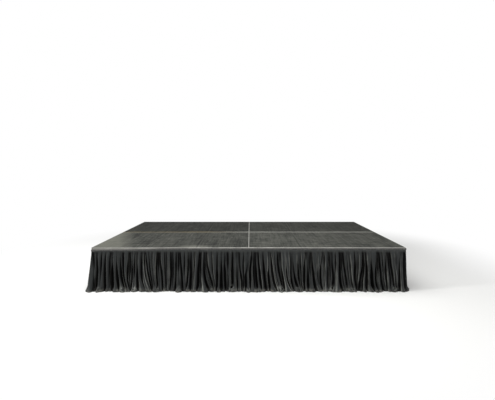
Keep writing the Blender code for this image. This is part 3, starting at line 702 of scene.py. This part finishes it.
def dropCloth(along, out, z, rucks, sweeps, seed):
    # gives the folds their gathers and creases, and lets the hem break on the floor
    rows, columns = along.shape
    up = np.repeat(z[:, None], columns, axis=1)
    gather = smoothStep((z - 0.50) / 0.10)[:, None]        # gathers show in the top 0.1 m
    pitch, depth = skirt["gather"]
    out = out + gather * depth * np.sin(along * 2 * math.pi / pitch + 2.0 * np.sin(along * 9))
    # broad and fine creases in the cloth itself
    fine = np.zeros((rows, columns))
    side = np.zeros((rows, columns))
    for r in range(rows):
        for c in range(columns):
            s, o, h = along[r, c], out[r, c], up[r, c]
            fine[r, c] = noise.noise(Vector((s * 22 + seed, o * 22, h * 7)))
            side[r, c] = noise.noise(Vector((s * 11 - seed, o * 11 + 5, h * 5)))
    middle = along[rows // 2]
    sideways = sum(far * np.exp(-((middle - at) / skirt["sweepWidth"]) ** 2) for at, far in sweeps)
    leaning = np.clip(1 - up / skirt["sweepFrom"], 0, 1) ** 2
    along = along + sideways[None, :] * leaning * np.clip(out / 0.045, 0, 1)
    low = smoothStep((skirt["tapeBottom"] - up) / 0.2)
    outward, sidewards = skirt["wrinkle"]
    out = np.maximum(out + low * outward * fine, skirt["least"])
    along = along + low * sidewards * side
    lowest = along[-1]
    ruck = np.zeros(columns)
    for place, size in rucks:
        ruck = np.maximum(ruck, size * np.exp(-((lowest - place) / skirt["ruckWidth"]) ** 2))
    # hem: the cloth kicks out above the floor, then each column turns and lies on it
    rng = random.Random(seed + 50)
    waves = ((0.5, 13), (0.3, 31), (0.2, 57))
    wander = sum(share * np.sin(lowest * rate + rng.uniform(0, 6.3)) for share, rate in waves)
    always, wandering, rucked = skirt["kick"]
    kick = np.clip(always + wandering * wander + rucked * ruck, 0.004, 0.042)
    out = out + kick[None, :] * np.clip(1 - up / 0.10, 0, 1) ** 1.5
    bend = z[-1]
    arc = bend * math.pi / 2
    always, wandering, rucked = skirt["toe"]
    run = np.maximum(0.004, always + wandering * wander + rucked * ruck - bend)
    slope = (along[-1] - along[-3]) / (up[-3] - up[-1])
    hem = []
    for step in range(1, skirt["hemRows"] + 1):
        gone = (arc + run) * step / skirt["hemRows"]
        angle = np.minimum(gone / bend, math.pi / 2)
        past = np.maximum(0, gone - arc)
        hem.append((
            along[-1] + slope * (0.9 * bend * np.sin(angle) + 0.5 * past),
            out[-1] + bend * (1 - np.cos(angle)) + past,
            bend * (1 - np.sin(angle)),
        ))
    along, out, up = [np.vstack([table, turned]) for table, turned in zip((along, out, up), zip(*hem))]
    # crumples: flat facets with sharp ridges between them, larger where the hem is rucked up
    rows = len(along)
    reach = 0.085 + 0.03 * ruck[None, :]
    zone = smoothStep((reach - up) / (0.8 * reach))
    lift = np.zeros_like(along)
    push = np.zeros_like(along)
    for r in range(rows):
        if zone[r].max() <= 0:
            continue
        for c in range(columns):
            s, o, h = along[r, c], out[r, c], up[r, c]
            spot = Vector((s * 15 + seed, o * 17, h * 15))
            near = noise.voronoi(spot + Vector((0.3 * noise.noise(spot * 1.7), 0, 0)))[0]
            lift[r, c] = 1 - min(1, 1.7 * (near[1] - near[0]))
            push[r, c] = noise.noise(Vector((s * 24 + 9, o * 28 + seed, h * 28 + 2)))
    for table in (lift, push):
        table[:, 1:-1] = smoothed(table)
        table[1:-1] = smoothed(table.T).T
    size = zone * (0.45 + 0.95 * ruck[None, :])
    edge = np.ones((rows, 1))
    edge[-4:, 0] = (0.7, 0.35, 0.12, 0.0)                  # the hem's edge stays flat on the floor
    dent, ridgeOut, ridgeUp = skirt["crumple"]
    out = np.maximum(out + size * edge * (dent * push + ridgeOut * lift), skirt["least"])
    along = along + size * 0.75 * dent * push
    up = up + size * edge * (dent * push + ridgeUp * lift) * smoothStep((0.07 - up) / 0.05)
    up = np.maximum(up, 0.0005)
    # painted shade: cloth down between the crests is darker than the crests; compare each point with the
    # crests beside it
    crest = out.copy()
    for shift in range(1, 15):
        left, right = np.s_[:, :-shift], np.s_[:, shift:]
        close = np.abs(along[right] - along[left]) < skirt["crestReach"]
        for near, far in ((left, right), (right, left)):
            crest[near] = np.where(close, np.maximum(crest[near], out[far]), crest[near])
    # painted highlights: sharp creases in the rucked hem catch the light
    creaseHighlight = zone * ruck[None, :] * np.clip((lift - 0.66) / 0.14, 0, 1)
    return along, out, up, out / crest, creaseHighlight


# the three skirted sides; "rise" is how far the tape lies above or below level along the run, in metres
runs = {
    "front": {
        "place": lambda s, o, z: np.stack([s, -halfY - o, z], axis=-1),
        "rise": lambda s: np.interp(s, [-2.44, -1.95, -1.25, 2.44], [-0.011, -0.009, 0.009, 0.0115]),
        "start": -halfX, "end": halfX, "seed": 1,
        "corners": (skirt["leftFlare"], skirt["rightFlare"]),
        "rests": ["deck_frame_fl", "deck_frame_fr"],
    },
    "left": {
        "place": lambda s, o, z: np.stack([-halfX - o, -s, z], axis=-1),
        "rise": lambda s: np.interp(s, [0.5, halfY], [0.0, -0.011]),
        "start": -halfY, "end": halfY, "seed": 2,
        "corners": (0, skirt["leftFlare"]),
        "rests": ["deck_frame_fl", "deck_frame_bl"],
    },
    "right": {
        "place": lambda s, o, z: np.stack([halfX + o, s, z], axis=-1),
        "rise": lambda s: np.interp(s, [-halfY, -0.5], [0.0115, 0.0]),
        "start": -halfY, "end": halfY, "seed": 3,
        "corners": (skirt["rightFlare"], 0),
        "rests": ["deck_frame_fr", "deck_frame_br"],
    },
}
satin = satinMaterial()
webbing = tapeMaterial()


def clothPiece(name, points, faded, wearAndPaintedHighlight):
    # the UV is the flat cloth in metres
    step = np.linalg.norm(np.diff(points, axis=0), axis=2)
    down = np.concatenate([np.zeros((1, points.shape[1])), np.cumsum(step, axis=0)])
    down = down[-1:] - down
    middle = points[len(points) // 2]
    across = np.concatenate([[0], np.cumsum(np.linalg.norm(np.diff(middle, axis=0), axis=1))])
    uv = np.stack([np.broadcast_to(across, down.shape), down], axis=-1)
    mesh = gridMesh(name, points, uv)
    # painted shade in the folds and painted highlights on their edges go to the material as attributes
    for key, values in (("faded", faded), ("wearAndPaintedHighlight", wearAndPaintedHighlight)):
        layer = mesh.attributes.new(key, "FLOAT", "POINT")
        layer.data.foreach_set("value", values.reshape(-1).astype(np.float32))
    return addPiece(name, mesh, satin)


def tapePiece(name, run, start, end, mitres, notch):
    # a flat strap with rounded edges, lying on the rail's face
    count = max(8, round((end - start) / tape["step"]))
    s = np.linspace(start, end, count + 1)
    ripple = np.array([noise.noise(Vector((value * 30, run["seed"], 0.5))) for value in s])
    sag = np.array([noise.noise(Vector((value * 9, run["seed"], 4.5))) for value in s])
    first = np.clip(1 - (s - start) / 0.03, 0, 1)
    last = np.clip(1 - (end - s) / 0.03, 0, 1)
    rows = []
    for o, up, _ in tape["section"]:
        front = 1 if o > 0.003 else 0
        out = o + front * 0.0007 * ripple
        height = skirt["tapeBottom"] + up + run["rise"](s) + (0.0012 if up < 0.01 else 0.0006) * sag
        if notch is not None:
            # the two front tapes pull down a little where they meet
            near = np.clip(1 - np.abs(s - notch) / 0.05, 0, 1) ** 1.4
            height = height - near * 0.010 * (1 - up / 0.035)
            out = out + near * 0.002 * front
        rows.append(run["place"](s - mitres[0] * first * out + mitres[1] * last * out, out, height))
    points = np.array(rows).transpose(1, 0, 2)
    around = np.array([flat for _, _, flat in tape["section"]])
    uv = np.stack(np.broadcast_arrays((s - start)[:, None], around[None, :]), axis=-1)
    mesh = gridMesh(name, points, uv, closeAround=True)
    work = bmesh.new()
    work.from_mesh(mesh)
    work.verts.ensure_lookup_table()
    sides = len(tape["section"])
    work.faces.new(work.verts[:sides])
    work.faces.new(work.verts[-sides:][::-1])
    bmesh.ops.recalc_face_normals(work, faces=work.faces)
    work.to_mesh(mesh)
    work.free()
    return addPiece(name, mesh, webbing)


def declareSkirt(node):
    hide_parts(node)


def meetAtCorner(points, edges):
    # two cloths share one line down a corner: each gives way over its last few columns
    meet = sum(points[name][:, column] for name, column in edges) / 2
    for name, side in edges:
        shift = meet - points[name][:, side]
        for step in range(10):
            column = step if side == 0 else -1 - step
            points[name][:, column] += shift * (1 - step / 10) ** 2


def makeSkirts():
    z = rowHeights()
    points, paintedLight = {}, {}
    for name, run in runs.items():
        rng = random.Random(run["seed"] * 11)
        start, end = run["start"], run["end"]
        gaps = list(frontGaps) if name == "front" else randomGaps(start, end, rng)
        if not run["corners"][0]:
            gaps.insert(0, (start + 0.002,) * 4 + (0.4, 0.6, 0.6))
        if not run["corners"][1]:
            gaps.append((end - 0.002,) * 4 + (0.4, 0.6, 0.6))
        full = addCreases(gaps, start, end, rng)
        inner = [row for row in full if start + 0.001 < row[0] < end - 0.001]
        along, out, wearAndPaintedHighlight = hangCloth(inner, start, end, run["corners"], run["seed"], z)
        if name == "front":
            rucks, sweeps = frontRucks, frontSweeps
        else:
            rucks = [(rng.uniform(start, end), rng.uniform(0.4, 1.0)) for _ in range(9)]
            sweeps = [(rng.uniform(start, end), rng.uniform(-0.03, 0.06)) for _ in range(12)]
        along, out, up, faded, creaseHighlight = dropCloth(along, out, z, rucks, sweeps, run["seed"])
        wearAndPaintedHighlight = np.vstack([wearAndPaintedHighlight, np.repeat(wearAndPaintedHighlight[-1:], skirt["hemRows"], axis=0)])
        points[name] = run["place"](along, out, up + run["rise"](along) * smoothStep((up - 0.42) / 0.18))
        # painted shade in the folds, and painted highlights on fold edges and hem creases
        paintedLight[name] = (faded, np.maximum(wearAndPaintedHighlight, skirt["creaseShine"] * creaseHighlight))
    meetAtCorner(points, (("front", 0), ("left", -1)))
    meetAtCorner(points, (("front", -1), ("right", 0)))
    for name, run in runs.items():
        start, end, rests = run["start"], run["end"], run["rests"]
        faded, wearAndPaintedHighlight = paintedLight[name]
        if name == "front":
            edge = skirt["sectionEnd"]
            split = int(np.argmin(np.abs(points[name][0, :, 0] - edge)))
            lap = skirt["lap"]
            first, second = np.s_[:, :split + 1], np.s_[:, split - lap + 2:]
            lapped = points[name][first].copy()
            lapped[:, -lap:, 1] -= 0.003 * np.linspace(0, 1, lap)      # the long section lies on top
            long = clothPiece("skirtFrontLong", lapped, faded[first], wearAndPaintedHighlight[first])
            short = clothPiece("skirtFrontShort", points[name][second], faded[second], wearAndPaintedHighlight[second])
            longTape = tapePiece("headerTapeFrontLong", run, start, edge - 0.001, (1, 0), edge)
            shortTape = tapePiece("headerTapeFrontShort", run, edge + 0.001, end, (0, 1), edge)
            declareSkirt("skirt_front_long")
            declareSkirt("skirt_front_short")
        else:
            cloth = clothPiece("skirt" + name.capitalize(), points[name], faded, wearAndPaintedHighlight)
            mitres = [1 if flare else 0 for flare in run["corners"]]
            strap = tapePiece("headerTape" + name.capitalize(), run, start, end, mitres, None)
            declareSkirt(f"skirt_{name}")
        print("skirt", name, points[name].shape[:2])


makeSkirts()


# Legs: round aluminium tube with a plug in its foot, zinc plated screws, rubber pads
leg = {
    "radius": 0.02415,
    "wall": 0.004,
    "sides": 48,
    "bore": 0.0103,               # of the plug that carries the jack screw
    "plug": 0.045,
    "tube": "#cfcfca",
    "tubeDull": "#a5a49e",
    "roughness": 0.36,
}
steel = {
    "bright": "#a9a9a6",
    "dull": "#86857f",
    "roughness": 0.32,
    "sharp": 35,                  # degrees; sharper edges than this stay sharp
    "patterns": {
        "bloom": (22.22, 4, 0.6, (1.0, 1.0, 1.0)),
        "grain": (1.25, 2, 0.55, (1.0, 1.0, 1.0)),            # plating, ten times too coarse, to show
    },
}
rubber = {
    "black": "#1f1f1e",
    "dust": "#4b4a46",
    "roughness": 0.78,
    "specular": 0.35,
    "patterns": {
        "dust": (16.667, 5, 0.65, (1.0, 1.0, 1.0)),
        "grain": (0.6667, 2, 0.55, (1.0, 1.0, 1.0)),          # blasted mould
    },
}
# radius and height of each outline, from the floor
foot = {
    "sides": 64,
    "sole": [(0, 0.0008), (0.030, 0.0008), (0.031, 0.0), (0.0355, 0.0), (0.0385, 0.0012), (0.0400, 0.0040)],
    "grooves": (0.0045, 0.0063, 0.0081),
    "groove": [(0.0400, 0), (0.0400, 0.0008), (0.0393, 0.0011), (0.0393, 0.0015)],
    "crown": [(0.0398, 0.0102), (0.0385, 0.0112), (0.030, 0.0132), (0.0225, 0.0150), (0.0190, 0.0172),
              (0.0175, 0.0180), (0, 0.0180)],
    "nut": 0.0150,                # from its axis to a corner
    "nutOutline": [(0.0134, 0.0180), (0.0150, 0.0192), (0.0150, 0.0268), (0.0134, 0.0280), (0.0104, 0.0280)],
    "thread": (0.0100, 0.0014, 0.0040, 0.0275, 0.1215),      # radius, depth, pitch, lower and upper end
    "core": (0.0088, 0.0080, 0.0955, 0.0752),                # lower and upper radius, length, middle's height
}
# radius and distance of each outline, from the leg's axis
clamp = {
    "sides": 24,
    "thread": (0.0060, 0.0009, 0.0020, 0.0240, 0.0500),
    "shaft": [(0, 0.0237), (0.0042, 0.0237), (0.0052, 0.0247), (0.0052, 0.0560), (0.0060, 0.0570),
              (0.0060, 0.0612), (0, 0.0612)],
    "handle": [(0, -0.0350), (0.0030, -0.0350), (0.0045, -0.0343), (0.0050, -0.0328), (0.0050, 0.0328),
               (0.0045, 0.0343), (0.0030, 0.0350), (0, 0.0350)],
    "handleAt": 0.06125,
}


def zincMaterial():
    # Mild steel, turned and bright zinc plated: cool grey, with a faint bloom.
    material, tree, shader, pattern = newMaterial(
        "steelZincPlated", 1.0, steel["roughness"], steel["bright"], patterns=steel["patterns"])
    bloomed = addNode(tree, "MapRange", (pattern["bloom"], 0.35, 0.7, 0.0, 1.0))
    rough = addNode(tree, "MapRange", (pattern["bloom"], 0.3, 0.7, 0.26, 0.46))
    layers, bumps = ((bloomed, steel["dull"]),), ((pattern["grain"], 0.0001, 0.3),)
    dressShader(tree, shader, steel["bright"], layers, rough, bumps)
    return material


def rubberMaterial():
    # Natural rubber, compression moulded: matt black and dusty.
    material, tree, shader, pattern = newMaterial(
        "rubberMoulded", 0.0, rubber["roughness"], rubber["black"], rubber["specular"], rubber["patterns"])
    dusty = addNode(tree, "MapRange", (pattern["dust"], 0.4, 0.75, 0.0, 0.5))
    layers, bumps = ((dusty, rubber["dust"]),), ((pattern["grain"], 0.0001, 0.5),)
    dressShader(tree, shader, rubber["black"], layers, None, bumps)
    return material


def circle(radius, height, sides):
    # a radius of 0 gives one point on the axis
    angles = [2 * math.pi * i / sides for i in range(sides if radius else 1)]
    return [Vector((radius * math.cos(a), radius * math.sin(a), height)) for a in angles]


def joinRings(work, rings, closed=False):
    rings = [[work.verts.new(spot) for spot in ring] for ring in rings]
    pairs = list(zip(rings, rings[1:]))
    if closed:
        pairs.append((rings[-1], rings[0]))
    for low, high in pairs:
        for i in range(max(len(low), len(high))):
            j = i + 1
            corners = [low[i % len(low)], low[j % len(low)], high[j % len(high)], high[i % len(high)]]
            work.faces.new(list(dict.fromkeys(corners)))


def finishMesh(work, name, sharp):
    bmesh.ops.recalc_face_normals(work, faces=work.faces)
    mesh = bpy.data.meshes.new(name)
    work.to_mesh(mesh)
    work.free()
    mesh.shade_smooth()
    mesh.set_sharp_from_angle(angle=math.radians(sharp))
    return mesh


def threadedRod(work, radius, depth, pitch, low, high, sides=24):
    # a screw thread as one spiral surface between two plain ends
    shape = [(0.0, -depth), (0.30, 0.0), (0.5, 0.0), (0.80, -depth)]
    rings = []
    for step in range(int((high - low) / pitch * sides) + 1):
        a = 2 * math.pi * step / sides
        ring = []
        for share, offset in shape:
            height = min(high, max(low, low + pitch * (step / sides + share) - 0.5 * pitch))
            r = radius + offset
            ring.append(work.verts.new((r * math.cos(a), r * math.sin(a), height)))
        rings.append(ring)
    for near, far in zip(rings, rings[1:]):
        for i in range(len(shape) - 1):
            work.faces.new((near[i], far[i], far[i + 1], near[i + 1]))
    # each turn joins the next one up
    for near, far, above, farAbove in zip(rings, rings[1:], rings[sides:], rings[sides + 1:]):
        work.faces.new((near[-1], far[-1], farAbove[0], above[0]))


def legMesh(length):
    r, plug, bore = leg["radius"], leg["plug"], leg["bore"]
    inner = r - leg["wall"]
    outline = [
        (r - 0.001, 0), (r, -0.001), (r, 0.0015 - length), (r - 0.0015, -length),
        (bore + 0.0022, -length), (bore + 0.0009, 0.001 - length), (bore, 0.002 - length),
        (bore, plug - length), (inner, plug - length), (inner, 0),
    ]
    work = bmesh.new()
    joinRings(work, [circle(radius, height, leg["sides"]) for radius, height in outline], closed=True)
    return finishMesh(work, "legTube", 30)


def padMesh():
    outline = list(foot["sole"])
    for low in foot["grooves"]:
        outline += [(radius, low + height) for radius, height in foot["groove"]]
    work = bmesh.new()
    joinRings(work, [circle(radius, height, foot["sides"]) for radius, height in outline + foot["crown"]])
    return finishMesh(work, "rubberPad", 30)


def jackScrewMesh():
    # hexagonal nut, threaded stem and the core inside it
    work = bmesh.new()
    rings = []
    for radius, height in foot["nutOutline"]:
        ring = []
        for i in range(24):
            a = 2 * math.pi * i / 24
            flat = foot["nut"] * math.cos(math.pi / 6) / math.cos((a % (math.pi / 3)) - math.pi / 6)
            r = min(radius, flat) if radius > 0.011 else radius
            ring.append((r * math.cos(a), r * math.sin(a), height))
        rings.append(ring)
    joinRings(work, rings)
    threadedRod(work, *foot["thread"])
    low, high, length, middle = foot["core"]
    core = bmesh.ops.create_cone(work, cap_ends=True, segments=24, radius1=low, radius2=high, depth=length)
    bmesh.ops.translate(work, verts=core["verts"], vec=(0, 0, middle))
    return finishMesh(work, "jackScrew", steel["sharp"])


def clampMesh():
    # z runs out from the leg's axis; the handle lies across the screw
    work = bmesh.new()
    threadedRod(work, *clamp["thread"], sides=20)
    joinRings(work, [circle(radius, height, clamp["sides"]) for radius, height in clamp["shaft"]])
    rings = []
    for radius, across in clamp["handle"]:
        ring = circle(radius, 0, clamp["sides"])
        rings.append([(spot.x, across, clamp["handleAt"] + spot.y) for spot in ring])
    joinRings(work, rings)
    return finishMesh(work, "clampScrew", steel["sharp"])


def makeLegs():
    zinc = zincMaterial()
    blackRubber = rubberMaterial()
    tubeAluminium = aluminiumMaterial("aluminiumTubeDrawn", leg["tube"], leg["tubeDull"], leg["roughness"])
    low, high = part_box("leg_fl_1")
    tube, pad, screw, clampScrew = legMesh(high.z - low.z), padMesh(), jackScrewMesh(), clampMesh()
    upward = Vector((0, 0, 1))
    for deck in board["decks"]:
        for corner, turn in ((1, (1, 1, 0)), (2, (-1, 1, 0)), (3, (-1, -1, 0)), (4, (1, -1, 0))):
            tag = f"{deck}_{corner}"
            legNode, footNode, clampNode = f"leg_{tag}", f"foot_{tag}", f"leg_clamp_{tag}"
            low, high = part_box(legNode)
            x, y = (low.x + high.x) / 2, (low.y + high.y) / 2
            top = Matrix.Translation((x, y, high.z))
            item = addPiece(f"legTube_{tag}", tube, tubeAluminium, bodyOf[legNode], top)
            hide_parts(legNode)
            ground = Matrix.Translation((x, y, 0))
            addPiece(f"jackScrew_{tag}", screw, zinc, bodyOf[footNode], ground)
            item = addPiece(f"rubberPad_{tag}", pad, blackRubber, bodyOf[footNode], ground)
            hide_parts(footNode)
            # the clamp screw points at the leg's axis from the inner side of the corner
            inward = Vector(turn).normalized()
            turned = Matrix((upward.cross(inward), upward, inward)).transposed().to_4x4()
            low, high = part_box(clampNode)
            place = Matrix.Translation((x, y, (low.z + high.z) / 2)) @ turned
            item = addPiece(f"clampScrew_{tag}", clampScrew, zinc, bodyOf[clampNode], place)
            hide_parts(clampNode)
    print("legs done")


makeLegs()


# Floor, light and surroundings
studio = {
    "floor": "#f6f6f4",
    "floorSize": 40,
    "white": "#ffffff",
    "whiteFrom": 0.5,             # metres from the decks where the floor starts to fade to white
    "whiteAt": 3.2,
    "world": 0.30,
    # place, what it is aimed at, width and height, watts
    "lamps": {
        "overhead": ((-0.6, -1.2, 5.2), (0, 0, 0.5), (7.0, 4.0), 300),
        "left": ((-9.0, -3.2, 3.6), (-0.5, -1.0, 0.3), (1.2, 3.6), 560),
        "right": ((7.5, -7.0, 2.6), (0.5, -1.0, 0.3), (1.2, 3.6), 170),
    },
}


def whiteSeen(tree):
    # the white background is for the eye, straight or mirrored in metal, and lights nothing
    rays = addNode(tree, "LightPath").node.outputs
    seen = addNode(tree, "Math", (rays["Is Camera Ray"], rays["Is Glossy Ray"]), operation="MAXIMUM")
    return addNode(tree, "Math", (seen, rays["Is Transmission Ray"]), operation="MAXIMUM")


def makeFloor():
    # Painted studio floor: matt, fading to plain white away from the object.
    material, tree, shader, pattern = newMaterial("paintedFloorMatt", 0.0, 0.9, studio["floor"], 0.2)
    beyond = addNode(tree, "VectorMath", (pattern["place"],), operation="ABSOLUTE")
    beyond = addNode(tree, "VectorMath", (beyond, (halfX, halfY, 0)), operation="SUBTRACT")
    beyond = addNode(tree, "VectorMath", (beyond, (0, 0, 0)), operation="MAXIMUM")
    far = addNode(tree, "VectorMath", (beyond,), "Value", operation="LENGTH")
    ends = (far, studio["whiteFrom"], studio["whiteAt"])
    fade = addNode(tree, "MapRange", ends, interpolation_type="SMOOTHSTEP")
    seen = addNode(tree, "Math", (fade, whiteSeen(tree)), operation="MULTIPLY")
    white = addNode(tree, "Emission", (studio["white"], 1.0))
    mixed = addNode(tree, "MixShader", (seen, shader.outputs[0], white))
    tree.links.new(mixed, tree.nodes["Material Output"].inputs["Surface"])
    mesh = bpy.data.meshes.new("floor")
    size = studio["floorSize"]
    corners = [(-size, -size, 0), (size, -size, 0), (size, size, 0), (-size, size, 0)]
    mesh.from_pydata(corners, [], [(0, 1, 2, 3)])
    mesh.materials.append(material)
    floor = bpy.data.objects.new("floor", mesh)
    bpy.context.scene.collection.objects.link(floor)


def makeWorld():
    world = bpy.data.worlds.new("studio")
    bpy.context.scene.world = world
    world.use_nodes = True
    tree = world.node_tree
    soft = tree.nodes["Background"]
    soft.inputs["Color"].default_value = linearColour(studio["white"])
    soft.inputs["Strength"].default_value = studio["world"]
    white = addNode(tree, "Background", (studio["white"], 1.0))
    mixed = addNode(tree, "MixShader", (whiteSeen(tree), soft.outputs[0], white))
    tree.links.new(mixed, tree.nodes["World Output"].inputs["Surface"])


def makeLamps():
    for name, (place, aim, size, power) in studio["lamps"].items():
        lamp = bpy.data.lights.new(name, "AREA")
        lamp.shape = "RECTANGLE"
        lamp.size, lamp.size_y = size
        lamp.energy = power
        item = bpy.data.objects.new(name, lamp)
        item.location = place
        item.rotation_euler = (Vector(aim) - Vector(place)).to_track_quat("-Z", "Y").to_euler()
        bpy.context.scene.collection.objects.link(item)


makeFloor()
makeWorld()
makeLamps()
bpy.context.scene.view_settings.view_transform = "Standard"
print("studio done")
